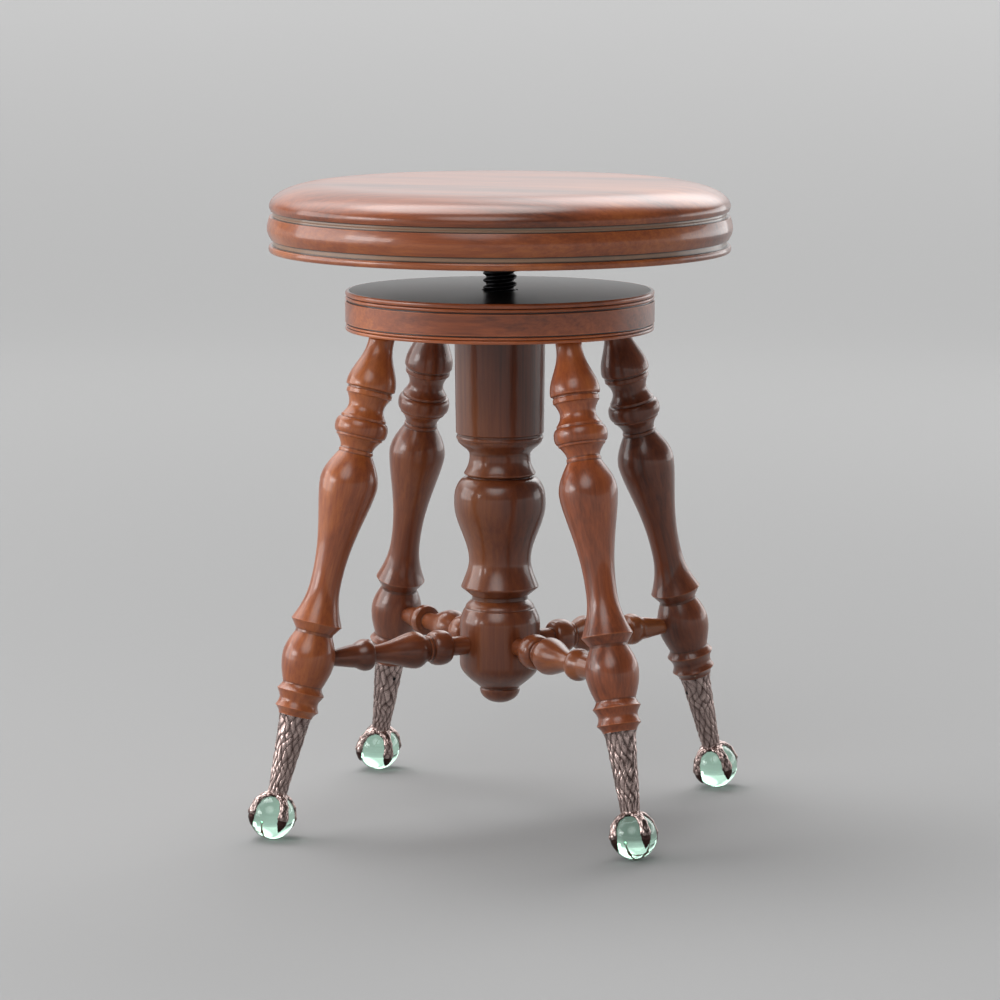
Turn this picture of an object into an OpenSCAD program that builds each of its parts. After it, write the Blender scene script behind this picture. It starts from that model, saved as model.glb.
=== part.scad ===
// Revolving piano stool: a round seat on a lifting screw, over four turned legs
// with cast claws that grip glass balls.
// Millimetres. +Z is up, and the origin is on the floor under the middle of the seat.

/* [Seat] */
// Diameter of the seat at its widest band
seat_dia = 356; // [335:1:380]
// Thickness of the seat, both boards together
seat_thick = 52.5; // [46:0.5:60]
// Thickness of the lower, banded board
band_thick = 28.9; // [25:0.1:31]
// Diameter of the flat in the middle of the crown
crown_flat_dia = 264; // [200:1:290]
// Height of the crown's rounded edge
crown_rise = 17.6; // [12:0.2:20]
// Depth of the grooves turned in the seat's edge
seat_groove = 3; // [1.5:0.1:4.5]
// Gap between the base and the seat, as the stool is shown
seat_gap = 29.7; // [24:0.1:50]

/* [Base] */
// Height of the base's top above the floor
base_height = 407.4; // [395:0.2:430]
// Diameter of the base disc
disc_dia = 237.2; // [230:0.2:260]
// Thickness of the base disc
disc_thick = 30.2; // [27:0.2:36]
// Depth of the grooves turned in the disc's edge
disc_groove = 2; // [1:0.1:2.6]
// Diameter of the black top plate
plate_dia = 230.4; // [180:0.2:231]
// Thickness of the top plate
plate_t = 1.6; // [1:0.1:2.5]

/* [Column] */
// Greatest diameter of the column, at its vase
column_dia = 70.6; // [66:0.2:80]
// How far the column hangs below the base disc
column_drop = 290.6; // [280:0.2:298]
// Diameter of the column's tenon in the base disc
column_tenon_dia = 52; // [48:0.5:56]

/* [Legs] */
// Diameter of the circle on which the legs enter the disc
leg_circle_dia = 204.6; // [196:0.2:208]
// Diameter of the circle of the ball centres
foot_circle_dia = 397.4; // [360:0.2:430]
// Greatest diameter of a leg
leg_dia = 44.2; // [41:0.2:50]
// Diameter of a leg's upper tenon
leg_tenon_dia = 16; // [12:0.2:17]
// Wood left above a leg's tenon
tenon_cover = 5; // [3:0.2:9]

/* [Stretchers] */
// How far the stretchers lie below the base disc
stretcher_drop = 243.2; // [237:0.2:251]
// Greatest diameter of a stretcher
stretcher_dia = 28.6; // [24:0.2:32]
// Depth of a stretcher's tenon in the column
column_bite = 12; // [8:0.5:15]
// Depth of a stretcher's tenon in the leg
leg_bite = 13; // [8:0.5:16]

/* [Feet] */
// Diameter of a glass ball
ball_dia = 34.4; // [30:0.2:40]
// Distance from the ball's centre to the wood, along the leg
foot_len = 78; // [70:0.5:90]
// Diameter of the claw's sleeve at its top
sleeve_dia = 25.4; // [24:0.2:28]
// Diameter of the sleeve where it meets the ball
ankle_dia = 14.8; // [13.6:0.2:17]
// Angle from the leg's axis, over the ball, to the rim of the sleeve's collar
collar_reach = 31; // [28:0.5:34]
// Thickness of the collar at its rim
collar_t = 1.6; // [1.2:0.1:2.2]
// Wall of the sleeve round the leg
sleeve_wall = 2; // [1.4:0.1:2.8]
// Depth of the socket in the sleeve
socket_len = 34; // [24:0.5:40]
// Talons on each claw
talon_count = 4; // [3:1:5]
// Greatest width of a talon
talon_w = 9.4; // [7:0.1:10.4]
// Greatest thickness of a talon over the ball
talon_t = 3.2; // [2.4:0.1:4.2]
// Angle from the leg's axis, over the ball, to a talon's tip
talon_reach = 125; // [110:1:135]

/* [Screw] */
// Outside diameter of the lifting screw
screw_dia = 26; // [22:0.2:28]
// Length of the screw from the seat's hub to its lower shoulder
screw_len = 165.5; // [150:0.5:175]
// Length of the nut, with its flange
nut_len = 48; // [36:0.5:56]
// Diameter of the nut's body
nut_dia = 39; // [36:0.5:41]
// Diameter of the nut's flange
nut_flange_dia = 76; // [72:0.5:88]
// Thickness of the nut's flange
nut_flange_t = 4; // [3:0.1:6]
// Thickness of the stop washer
washer_t = 3; // [2:0.1:5]

/* [Seat hub] */
// Diameter of the iron hub under the seat
hub_dia = 46; // [40:0.5:56]
// Height of the hub, with its arms
hub_h = 14; // [11:0.1:16]
// Length of an arm from the screw's axis to its last wood screw
arm_len = 74; // [64:0.5:110]
// Width of an arm
arm_w = 22; // [16:0.2:28]
// Thickness of an arm
arm_t = 5; // [4:0.1:7]

/* [Clearances] */
// Running clearance round the lifting screw in its nut
run_gap = 0.05; // [0.02:0.01:0.1]
// Glue or driving clearance round tenons, pins and inset pieces
fit_gap = 0.1; // [0.05:0.01:0.2]
// Clearance between a claw's cup and its ball, and at the loose washer
seat_clear = 0.2; // [0.1:0.05:0.4]

/* [Hidden] */
$fn = 96;

// Smooth steps along each curve of a turned outline
curve_steps = 8;
// Facets round the seat and the disc
board_fn = 180;
// How far cuts run past the solid they cut
overrun = 2;

// Finishes: lacquered wood, blacked iron, antique bronze, clear glass
wood = [0.45, 0.22, 0.12];
iron = [0.07, 0.07, 0.075];
bronze = [0.52, 0.40, 0.37];
glass = [0.66, 0.88, 0.78, 0.5];

// Heights
disc_z = base_height - disc_thick;
plate_z = base_height - plate_t;
seat_z = base_height + seat_gap;
crown_z = seat_z + band_thick;
seat_top_z = seat_z + seat_thick;
hub_z = seat_z - hub_h;
shoulder_z = hub_z - screw_len;
stretcher_z = disc_z - stretcher_drop;

// Radii
seat_r = seat_dia / 2;
disc_r = disc_dia / 2;
plate_r = plate_dia / 2;
column_r = column_dia / 2;
column_tenon_r = column_tenon_dia / 2;
leg_r = leg_dia / 2;
leg_tenon_r = leg_tenon_dia / 2;
stretcher_r = stretcher_dia / 2;
ball_r = ball_dia / 2;
screw_r = screw_dia / 2;
nut_r = nut_dia / 2;

// Each leg stands four-square, one to a quarter turn, with its axis leaning in from the ball
leg_count = 4;
leg_turn = 45;
leg_rise = disc_z - ball_r;
leg_run = (foot_circle_dia - leg_circle_dia) / 2;
leg_tilt = atan(leg_run / leg_rise);
axis_len = norm([leg_rise, leg_run]);
leg_len = axis_len - foot_len;
leg_tenon_len = (plate_z - tenon_cover - disc_z) / cos(leg_tilt) - leg_tenon_r * tan(leg_tilt);

// The stretchers span from the column's barrel to the legs' bulbs
bulb_share = 0.91;
barrel_share = 0.88;
column_tenon_share = 0.51;
leg_end_share = 0.43;
leg_at_stretcher = foot_circle_dia / 2 - (stretcher_z - ball_r) * tan(leg_tilt);
bulb_skin = leg_at_stretcher - leg_r * bulb_share / cos(leg_tilt);
barrel_skin = column_r * barrel_share;
span = bulb_skin - barrel_skin;

// Lifting screw: its neck in the hub, its tail through the washer and the stop nut
neck_share = 0.77;
tail_share = 0.62;
neck_r = screw_r * neck_share;
tail_r = screw_r * tail_share;
washer_lip = 1.2;
washer_r = screw_r + washer_lip;
stop_nut_h = 10;
stop_nut_share = 0.81;
stop_nut_r = washer_r * stop_nut_share;
tail_len = washer_t + stop_nut_h + 2 * seat_clear;
bore_clear = 0.5;
bore_r = washer_r + bore_clear;
bore_spare = 5;
drop = hub_z - base_height;
bore_z = shoulder_z - tail_len - drop - bore_spare;
plate_bore_clear = 1;
plate_bore_r = screw_r + plate_bore_clear;

// Turned outlines. A station holds its share of the length, its share of the greatest
// radius, the curve that runs on to the next station, and how far that curve leans.
leg_shares = [
    [0, 0.443, "straight"], [0.017, 0.443, "wave", 1.08],
    [0.133, 0.855, "straight"], [0.138, 0.845, "straight"], [0.141, 0.765, "straight"],
    [0.145, 0.765, "straight"], [0.147, 0.79, "straight"], [0.157, 0.79, "straight"],
    [0.160, 0.742, "swell"], [0.188, 0.61, "ease"], [0.212, 0.742, "straight"],
    [0.215, 0.778, "straight"], [0.222, 0.783, "round"], [0.244, 0.918, "turn"],
    [0.263, 0.81, "straight"], [0.269, 0.797, "straight"], [0.271, 0.75, "swell"],
    [0.300, 0.561, "straight"], [0.302, 0.593, "straight"], [0.308, 0.593, "straight"],
    [0.310, 0.584, "swell"], [0.390, 1, "wave", 0.75], [0.638, 0.523, "ease", 1.25],
    [0.755, 0.882, "straight"], [0.779, 0.652, "straight"], [0.785, 0.652, "swell"],
    [0.847, 0.91, "ease"], [0.918, 0.683, "ease"], [0.937, 0.82, "swell", 1.2],
    [0.961, 0.674, "ease"], [0.981, 0.756, "swell"], [1, 0.584, "straight"]];
column_shares = [
    [0, 0.99, "straight"], [0.274, 0.96, "straight"], [0.277, 0.93, "straight"],
    [0.282, 0.93, "round"], [0.287, 0.95, "turn"], [0.292, 0.925, "wave"],
    [0.333, 0.663, "ease", 1.3], [0.382, 0.782, "straight"], [0.385, 0.775, "straight"],
    [0.390, 0.7, "straight"], [0.392, 0.7, "round"], [0.453, 1, "straight"],
    [0.462, 1, "wave"], [0.618, 0.675, "ease", 0.8], [0.684, 0.845, "straight"],
    [0.688, 0.845, "straight"], [0.711, 0.61, "straight"], [0.720, 0.607, "swell"],
    [0.743, 0.755, "straight"], [0.746, 0.78, "swell"], [0.785, 0.88, "straight"],
    [0.892, 0.88, "ease"], [0.956, 0.43, "straight"], [0.959, 0.42, "straight"],
    [0.962, 0.44, "turn"], [1, 0, "straight"]];
stretcher_shares = [
    [0, 0.51, "straight"], [0.126, 0.51, "straight"], [0.128, 0.67, "round"],
    [0.199, 0.95, "turn"], [0.268, 0.685, "straight"], [0.271, 0.64, "straight"],
    [0.280, 0.69, "straight"], [0.292, 0.69, "straight"], [0.296, 0.61, "swell"],
    [0.389, 1, "wave", 0.8], [0.705, 0.46, "straight"], [0.714, 0.46, "straight"],
    [0.723, 0.74, "round"], [0.762, 0.86, "wave"], [0.856, 0.62, "straight"],
    [1, 0.43, "straight"]];
// A claw's sleeve, from its top down to the ankle: shares of the length and of the taper
sleeve_shares = [[0, 0, "swell"], [0.17, 0.24, "straight"], [1, 1, "straight"]];
// Edges of the round boards: shares of the thickness, from below, and of the groove's depth
disc_shares = [
    [0, 0.6, "round"], [0.048, 0.1, "turn"], [0.09, 0.6, "straight"], [0.095, 0.85, "straight"],
    [0.1, 0.6, "round"], [0.134, 0.25, "turn"], [0.165, 0.6, "straight"],
    [0.17, 1, "straight"], [0.2, 1, "straight"], [0.205, 0, "straight"],
    [0.742, 0, "straight"], [0.747, 1, "straight"], [0.777, 1, "straight"],
    [0.782, 0.5, "round"], [0.824, 0.1, "turn"], [0.865, 0.5, "straight"],
    [0.872, 0.85, "straight"], [0.88, 0.5, "round"], [0.935, 0.1, "turn"], [1, 0.7, "straight"]];
band_shares = [
    [0, 1, "round"], [0.09, 0.4, "turn"], [0.18, 0.75, "straight"], [0.187, 1.5, "straight"],
    [0.329, 1.5, "straight"], [0.336, 1, "swell"], [0.62, 0, "ease"], [0.935, 0.6, "straight"],
    [0.941, 1.5, "straight"], [1, 1.5, "straight"]];
// The crown's edge below its rounding: shares of its height, and how far it stands in from the band
crown_edge_shares = [[0, 1.5], [0.43, 1.5], [0.45, 0.95], [1, 0.6]];

// One curve from 0 to 1, run along the axis and risen across it
function run(kind, u) = kind == "round" ? 1 - cos(90 * u) : kind == "turn" ? sin(90 * u) : u;
function rise(kind, u) =
    kind == "swell" || kind == "round" ? sin(90 * u) :
    kind == "ease" || kind == "turn" ? 1 - cos(90 * u) :
    kind == "wave" ? (1 - cos(180 * u)) / 2 : u;
function mix(a, b, t) = a + (b - a) * t;

// Outline of a turning as [across, along] points, scaled from its stations
function turned(shares, along, across) = [
    for (i = [0 : len(shares) - 2])
        let (
            from = shares[i], to = shares[i + 1], kind = from[2],
            lean = len(from) > 3 ? from[3] : 1, steps = kind == "straight" ? 1 : curve_steps)
        for (k = [0 : steps - 1])
            let (u = k / steps)
                [across * mix(from[1], to[1], rise(kind, pow(u, lean))),
                 along * mix(from[0], to[0], run(kind, u))],
    [across * shares[len(shares) - 1][1], along * shares[len(shares) - 1][0]]];
function lowered(points, top) = [for (p = points) [p[0], top - p[1]]];
function inset(points, radius, bottom) = [for (p = points) [radius - p[0], bottom + p[1]]];

// Places round the stool
module at_quarter(i) rotate([0, 0, leg_turn + 360 / leg_count * (i - 1)]) children();
module on_leg_axis(i) at_quarter(i)
    translate([foot_circle_dia / 2, 0, ball_r]) rotate([0, -leg_tilt, 0]) children();
module on_stretcher_axis(i) at_quarter(i)
    translate([0, 0, stretcher_z]) rotate([0, 90, 0]) children();

// A countersunk wood screw, its head's face at the origin and its point along +Z
wood_screw_r = 2.2;
wood_screw_head_r = 4.4;
wood_screw_head_h = 2.6;
wood_screw_point = 4;
module wood_screw(length, gap) rotate_extrude() polygon([
    [0, -gap], [wood_screw_head_r + gap, -gap], [wood_screw_head_r + gap, 0],
    [wood_screw_r + gap, wood_screw_head_h],
    [wood_screw_r + gap, length - wood_screw_point], [0, length + gap]]);

// Wood screws of the seat's hub, two to an arm, up into the banded board
arm_count = 4;
hub_screw_len = 19;
hub_screw_places = [arm_len, (arm_len + hub_dia / 2) / 2 + wood_screw_head_r];
module hub_screw_set(gap) for (i = [0 : arm_count - 1], place = hub_screw_places)
    rotate([0, 0, 360 / arm_count * i]) translate([place, 0, seat_z - arm_t])
        wood_screw(hub_screw_len, gap);

// Wood screws of the nut, down through its flange into the disc
nut_screw_count = 4;
nut_screw_len = 18;
nut_screw_place = (column_tenon_r + nut_flange_dia / 2) / 2;
module nut_screw_set(gap) for (i = [0 : nut_screw_count - 1])
    rotate([0, 0, 360 / nut_screw_count * i])
        translate([nut_screw_place, 0, plate_z]) rotate([180, 0, 0])
            wood_screw(nut_screw_len, gap);

// A pin through each sleeve into the leg's end, on the side that faces the column
pin_r = 1.3;
pin_bite = 7;
pin_drop = 12;
function sleeve_r_at(down) = mix(sleeve_dia, ankle_dia, down / (foot_len - ball_r)) / 2;
pin_out = sleeve_r_at(pin_drop) - sleeve_wall / 4;
module foot_pin(i, gap) on_leg_axis(i) translate([0, 0, foot_len - pin_drop])
    rotate([0, -90, 0]) translate([0, 0, pin_out - pin_bite - gap])
        cylinder(r = pin_r + gap, h = pin_bite + gap + (gap > 0 ? overrun : 0));

// Seat
module crown_board() color(wood) {
    edge_z = seat_top_z - crown_rise;
    edge_r = seat_r - seat_groove * crown_edge_shares[3][1];
    flat_r = crown_flat_dia / 2;
    foot = [for (s = crown_edge_shares)
        [seat_r - seat_groove * s[1], mix(crown_z, edge_z, s[0])]];
    dome = [for (k = [1 : 2 * curve_steps]) let (a = 90 * k / (2 * curve_steps))
        [flat_r + (edge_r - flat_r) * cos(a), edge_z + crown_rise * sin(a)]];
    rotate_extrude($fn = board_fn) polygon(concat([[0, crown_z]], foot, dome, [[0, seat_top_z]]));
}

module band_board() color(wood) difference() {
    rotate_extrude($fn = board_fn) polygon(concat([[0, seat_z]],
        inset(turned(band_shares, band_thick, seat_groove), seat_r, seat_z), [[0, crown_z]]));
    hub_screw_set(fit_gap);
}

// Iron hub under the seat
module seat_hub() color(iron) difference() {
    union() {
        translate([0, 0, hub_z]) cylinder(d = hub_dia, h = hub_h);
        for (i = [0 : arm_count - 1]) rotate([0, 0, 360 / arm_count * i])
            translate([0, 0, seat_z - arm_t]) linear_extrude(arm_t) union() {
                translate([0, -arm_w / 2]) square([arm_len, arm_w]);
                translate([arm_len, 0]) circle(d = arm_w);
            }
    }
    translate([0, 0, hub_z - overrun]) cylinder(r = neck_r + fit_gap, h = hub_h + 2 * overrun);
    hub_screw_set(fit_gap);
}

module hub_screws() color(iron) hub_screw_set(0);

// Lifting screw, with its neck riveted in the hub and a tail for the washer and stop nut
module lift_screw() color(iron) rotate_extrude() polygon([
    [0, shoulder_z - tail_len], [tail_r, shoulder_z - tail_len], [tail_r, shoulder_z],
    [screw_r, shoulder_z], [screw_r, hub_z], [neck_r, hub_z], [neck_r, seat_z], [0, seat_z]]);

module stop_washer() color(iron) translate([0, 0, shoulder_z - seat_clear - washer_t])
    difference() {
        cylinder(r = washer_r, h = washer_t);
        translate([0, 0, -overrun]) cylinder(r = tail_r + seat_clear, h = washer_t + 2 * overrun);
    }

module stop_nut() color(iron) translate([0, 0, shoulder_z - tail_len]) difference() {
    cylinder(r = stop_nut_r, h = stop_nut_h, $fn = 6);
    translate([0, 0, -overrun]) cylinder(r = tail_r + fit_gap, h = stop_nut_h + 2 * overrun);
}

// Base
module top_plate() color(iron) translate([0, 0, plate_z]) difference() {
    cylinder(r = plate_r, h = plate_t, $fn = board_fn);
    translate([0, 0, -overrun]) cylinder(r = plate_bore_r, h = plate_t + 2 * overrun);
}

module screw_nut() color(iron) difference() {
    rotate_extrude() polygon([
        [screw_r + run_gap, plate_z - nut_len], [nut_r, plate_z - nut_len],
        [nut_r, plate_z - nut_flange_t], [nut_flange_dia / 2, plate_z - nut_flange_t],
        [nut_flange_dia / 2, plate_z], [screw_r + run_gap, plate_z]]);
    nut_screw_set(fit_gap);
}

module nut_screws() color(iron) nut_screw_set(0);

module base_disc() color(wood) difference() {
    rotate_extrude($fn = board_fn) polygon(concat([[0, disc_z]],
        inset(turned(disc_shares, disc_thick, disc_groove), disc_r, disc_z),
        [[0, base_height]]));
    translate([0, 0, plate_z]) cylinder(r = plate_r + fit_gap, h = plate_t + overrun, $fn = board_fn);
    translate([0, 0, plate_z - nut_flange_t])
        cylinder(r = nut_flange_dia / 2 + fit_gap, h = nut_flange_t + overrun);
    translate([0, 0, disc_z - overrun])
        cylinder(r = column_tenon_r + fit_gap, h = disc_thick + 2 * overrun);
    for (i = [1 : leg_count]) on_leg_axis(i) translate([0, 0, axis_len - leg_tenon_r])
        cylinder(r = leg_tenon_r + fit_gap, h = leg_tenon_r + leg_tenon_len + fit_gap);
    nut_screw_set(fit_gap);
}

module column() color(wood) difference() {
    rotate_extrude() polygon(concat(
        [[0, plate_z - nut_flange_t], [column_tenon_r, plate_z - nut_flange_t],
         [column_tenon_r, disc_z]],
        lowered(turned(column_shares, column_drop, column_r), disc_z)));
    translate([0, 0, bore_z]) cylinder(r = bore_r, h = plate_z - bore_z);
    translate([0, 0, plate_z - nut_len - fit_gap]) cylinder(r = nut_r + fit_gap, h = nut_len);
    for (i = [1 : leg_count]) on_stretcher_axis(i)
        translate([0, 0, barrel_skin - column_bite - fit_gap])
            cylinder(r = stretcher_r * column_tenon_share + fit_gap, h = column_r);
}

// A leg: its outline cut square to the disc, a tenon above and a tapered end in the sleeve
leg_end_top = sleeve_dia / 2 - sleeve_wall;
leg_end_low = sleeve_r_at(socket_len) - sleeve_wall;
module leg(i) color(wood) difference() {
    union() {
        difference() {
            on_leg_axis(i) rotate_extrude() polygon(concat(
                [[0, axis_len + leg_r], [leg_r * leg_shares[0][1], axis_len + leg_r]],
                lowered(turned(leg_shares, leg_len, leg_r), axis_len),
                [[leg_end_top - fit_gap, foot_len], [leg_end_low - fit_gap, foot_len - socket_len],
                 [0, foot_len - socket_len]]));
            translate([0, 0, disc_z]) cylinder(r = seat_r, h = 2 * leg_r);
        }
        on_leg_axis(i) translate([0, 0, axis_len - leg_r])
            cylinder(r = leg_tenon_r, h = leg_r + leg_tenon_len);
    }
    on_stretcher_axis(i) translate([0, 0, bulb_skin - leg_r])
        cylinder(r = stretcher_r * leg_end_share + fit_gap, h = leg_r + leg_bite + fit_gap);
    foot_pin(i, fit_gap);
}

module stretcher(i) color(wood) on_stretcher_axis(i) rotate_extrude() polygon(concat(
    [[0, barrel_skin - column_bite],
     [stretcher_r * column_tenon_share, barrel_skin - column_bite]],
    [for (p = turned(stretcher_shares, span, stretcher_r)) [p[0], p[1] + barrel_skin]],
    [[stretcher_r * leg_end_share, bulb_skin + leg_bite], [0, bulb_skin + leg_bite]]));

// A talon sweeps over the ball from inside the ankle to its tip. A station holds its share of
// the sweep, of the width and of the thickness, and how far it lifts off the ball, as a share
// of the thickness: a flared root, two knuckles, a cuticle, then the pointed nail.
talon_root = 14;
talon_shares = [
    [0, 0.62, 0.5, 1], [0.06, 0.9, 0.72, 0], [0.11, 1.08, 0.8, 0], [0.16, 1.06, 0.84, 0],
    [0.2, 0.9, 0.88, 0], [0.26, 0.75, 0.88, 0], [0.33, 0.73, 0.9, 0], [0.4, 0.82, 1, 0],
    [0.48, 0.78, 0.84, 0], [0.56, 0.88, 0.86, 0], [0.65, 1, 1, 0], [0.7, 0.95, 0.88, 0],
    [0.715, 0.84, 0.6, 0], [0.78, 0.82, 0.64, 0], [0.86, 0.6, 0.52, 0], [0.93, 0.34, 0.38, 0],
    [1, 0.05, 0.12, 0]];
talon_arch_steps = 6;
talon_inner_r = ball_r + 2 * seat_clear;

// One ring of a talon: the underside follows the ball, the back is arched over it
function talon_ring(s) =
    let (
        reach = mix(talon_root, talon_reach, s[0]), low = talon_inner_r + talon_t * s[3],
        half = talon_w * s[1] / 2 / talon_inner_r * 180 / PI, high = talon_t * s[2],
        back = [for (k = [0 : talon_arch_steps]) let (a = 180 * k / talon_arch_steps)
            [low + high * sin(a), half * cos(a)]])
    [for (p = concat(back, [[low, 0]]))
        let (across = p[0] * sin(p[1]), out = p[0] * cos(p[1]))
            [out * sin(reach), across, out * cos(reach)]];

module talon() {
    rings = [for (s = talon_shares) talon_ring(s)];
    count = len(rings[0]);
    last = len(rings) - 1;
    side = [for (i = [0 : last - 1], k = [0 : count - 1])
        let (a = i * count + k, b = i * count + (k + 1) % count)
            each [[a, b + count, b], [a, a + count, b + count]]];
    ends = [for (k = [0 : count - 3]) each [[count - 1, k, k + 1],
        [last * count + count - 1, last * count + k + 1, last * count + k]]];
    polyhedron(points = [for (ring = rings) each ring], faces = concat(side, ends));
}

// The sleeve's collar spreads in a hollow curve from the ankle to its rim on the ball
cup_r = ball_r + seat_clear;
rim_r = (cup_r + collar_t) * sin(collar_reach);
rim_z = (cup_r + collar_t) * cos(collar_reach);
collar_z = rim_z + rim_r - ankle_dia / 2;
neck_of_collar_r = sleeve_r_at(foot_len - collar_z);
collar = [for (k = [0 : curve_steps]) let (a = 90 * k / curve_steps)
    [rim_r - (rim_r - neck_of_collar_r) * cos(a), collar_z - (collar_z - rim_z) * sin(a)]];

// A cast claw: a tapered sleeve for the leg, cupped on the ball, with its ring of talons
module claw(i) color(bronze) difference() {
    on_leg_axis(i) union() {
        rotate_extrude() polygon(concat(
            [for (p = turned(sleeve_shares, foot_len - ball_r, sleeve_dia - ankle_dia))
                if (foot_len - p[1] > collar_z) [(sleeve_dia - p[0]) / 2, foot_len - p[1]]],
            collar,
            [for (k = [0 : curve_steps]) let (a = collar_reach * (1 - k / curve_steps))
                [cup_r * sin(a), cup_r * cos(a)]],
            [[0, foot_len - socket_len - fit_gap], [leg_end_low, foot_len - socket_len - fit_gap],
             [leg_end_top, foot_len]]));
        for (k = [0 : talon_count - 1]) rotate([0, 0, 360 / talon_count * k]) talon();
    }
    foot_pin(i, fit_gap);
}

module foot_pins() color(iron) for (i = [1 : leg_count]) foot_pin(i, 0);

module ball(i) color(glass) on_leg_axis(i) sphere(r = ball_r);

crown_board();
band_board();
seat_hub();
hub_screws();
lift_screw();
stop_nut();
stop_washer();
top_plate();
screw_nut();
nut_screws();
base_disc();
column();
foot_pins();
leg(1);  // leg_1
leg(2);  // leg_2
leg(3);  // leg_3
leg(4);  // leg_4
stretcher(1);  // stretcher_1
stretcher(2);  // stretcher_2
stretcher(3);  // stretcher_3
stretcher(4);  // stretcher_4
claw(1);  // claw_1
claw(2);  // claw_2
claw(3);  // claw_3
claw(4);  // claw_4
ball(1);  // ball_1
ball(2);  // ball_2
ball(3);  // ball_3
ball(4);  // ball_4
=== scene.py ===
import bisect
import bmesh
import bpy
import math
from mathutils import Matrix, Vector, noise


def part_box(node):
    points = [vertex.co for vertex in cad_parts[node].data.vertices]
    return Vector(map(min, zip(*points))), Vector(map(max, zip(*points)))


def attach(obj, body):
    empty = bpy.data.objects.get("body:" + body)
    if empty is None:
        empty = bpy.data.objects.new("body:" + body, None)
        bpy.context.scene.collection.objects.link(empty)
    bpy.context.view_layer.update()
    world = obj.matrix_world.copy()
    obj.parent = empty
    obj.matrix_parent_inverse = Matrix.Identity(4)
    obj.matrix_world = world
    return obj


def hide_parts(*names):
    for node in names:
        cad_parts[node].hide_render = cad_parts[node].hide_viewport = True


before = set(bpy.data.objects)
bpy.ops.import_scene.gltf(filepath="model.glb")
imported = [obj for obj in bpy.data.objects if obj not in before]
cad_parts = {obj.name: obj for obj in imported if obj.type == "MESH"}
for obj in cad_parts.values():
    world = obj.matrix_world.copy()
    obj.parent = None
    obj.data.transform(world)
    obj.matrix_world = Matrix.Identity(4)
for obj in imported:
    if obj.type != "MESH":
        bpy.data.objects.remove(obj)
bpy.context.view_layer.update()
mm = 0.001
fullTurn = 2 * math.pi
print("frame loaded")


# What every piece shares
shared = {
    "curveSteps": 18,  # points along one curve of a turned outline
    "samePoint": 0.005 * mm,  # outline points nearer than this are one
    "softness": 0.45 * mm,  # sanded round on every turned corner
    "softTurn": math.radians(14),  # a corner that turns less than this is part of a curve
    "softShare": 0.42,  # most of a flat that the round at one of its ends takes
    "softSteps": 4,
    "reliefReach": 1.2 * mm,  # how far round a point its crest or groove is judged
    "reliefSteps": 4,
    "turnedDirtAndShade": 0.12 * mm,  # a turned piece keeps less dirt and painted shade in its grooves than the boards do
    "seam": 0.001 * mm,
    "fitGap": 0.1 * mm,
}
legNumbers = range(1, 5)


def mix(low, high, share):
    return low + (high - low) * share


# Outline of a turning, as (radius, distance) pairs. A station holds its share of the length,
# its share of the greatest radius, the curve on to the next station, and how that curve leans.
def turnedOutline(stations, along, across):
    points = []
    for here, there in zip(stations, stations[1:]):
        curve = here[2]
        lean = here[3] if len(here) > 3 else 1
        steps = 1 if curve == "straight" else shared["curveSteps"]
        for step in range(steps):
            run = step / steps
            rise = run ** lean
            if curve in ("swell", "round"):
                rise = math.sin(math.pi / 2 * rise)
            elif curve in ("ease", "turn"):
                rise = 1 - math.cos(math.pi / 2 * rise)
            elif curve == "wave":
                rise = (1 - math.cos(math.pi * rise)) / 2
            if curve == "round":
                run = 1 - math.cos(math.pi / 2 * run)
            elif curve == "turn":
                run = math.sin(math.pi / 2 * run)
            points.append((across * mix(here[1], there[1], rise), along * mix(here[0], there[0], run)))
    points.append((across * stations[-1][1], along * stations[-1][0]))
    return points


# Rounds each corner of an outline. The points held beside it keep the flats flat, and end the dirt and
# painted shade of a groove and the wear and painted highlight of a crest.
def softened(points, radius, closed=False):
    points = [Vector(point) for point in points]
    points = [here for before, here in zip([None] + points, points)
              if before is None or (here - before).length > shared["samePoint"]]
    made = [] if closed else [points[0]]
    if closed:
        points = [points[-1]] + points + [points[0]]
    reach, most = shared["reliefReach"], shared["softShare"]
    for before, here, after in zip(points, points[1:], points[2:]):
        into, out = here - before, after - here
        turn = into.angle(out)
        if turn < shared["softTurn"]:
            made.append(here)
            continue
        trim = min(radius * math.tan(turn / 2), most * into.length, most * out.length)
        start, end = here - into.normalized() * trim, here + out.normalized() * trim
        longFlat, flat = 2.5 * reach + trim, 5 * trim
        if into.length > longFlat:
            made.append(start - into.normalized() * reach)
        if into.length > flat:
            made.append(start - into.normalized() * trim)
        for step in range(shared["softSteps"] + 1):
            share = step / shared["softSteps"]
            made.append(start.lerp(here, share).lerp(here.lerp(end, share), share))
        if out.length > flat:
            made.append(end + out.normalized() * trim)
        if out.length > longFlat:
            made.append(end + out.normalized() * reach)
    return made if closed else made + [points[-1]]


# Cuts fine grooves into an outline, at places along its second value
def scribed(points, places, width, depth):
    made = list(points)
    for place in places:
        for index in range(len(made) - 1):
            low, high = sorted((made[index][1], made[index + 1][1]))
            if low < place - width / 2 and place + width / 2 < high:
                radius = mix(made[index][0], made[index + 1][0],
                             (place - made[index][1]) / (made[index + 1][1] - made[index][1]))
                way = 1 if made[index + 1][1] > made[index][1] else -1
                made[index + 1:index + 1] = [
                    Vector((radius, place - way * width / 2)), Vector((radius - depth, place)),
                    Vector((radius, place + way * width / 2))]
                break
    return made


# Length gone along an outline at each of its points
def lengthsAlong(points):
    gone = [0]
    for before, here in zip(points, points[1:]):
        gone.append(gone[-1] + (Vector(here) - Vector(before)).length)
    return gone


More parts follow.
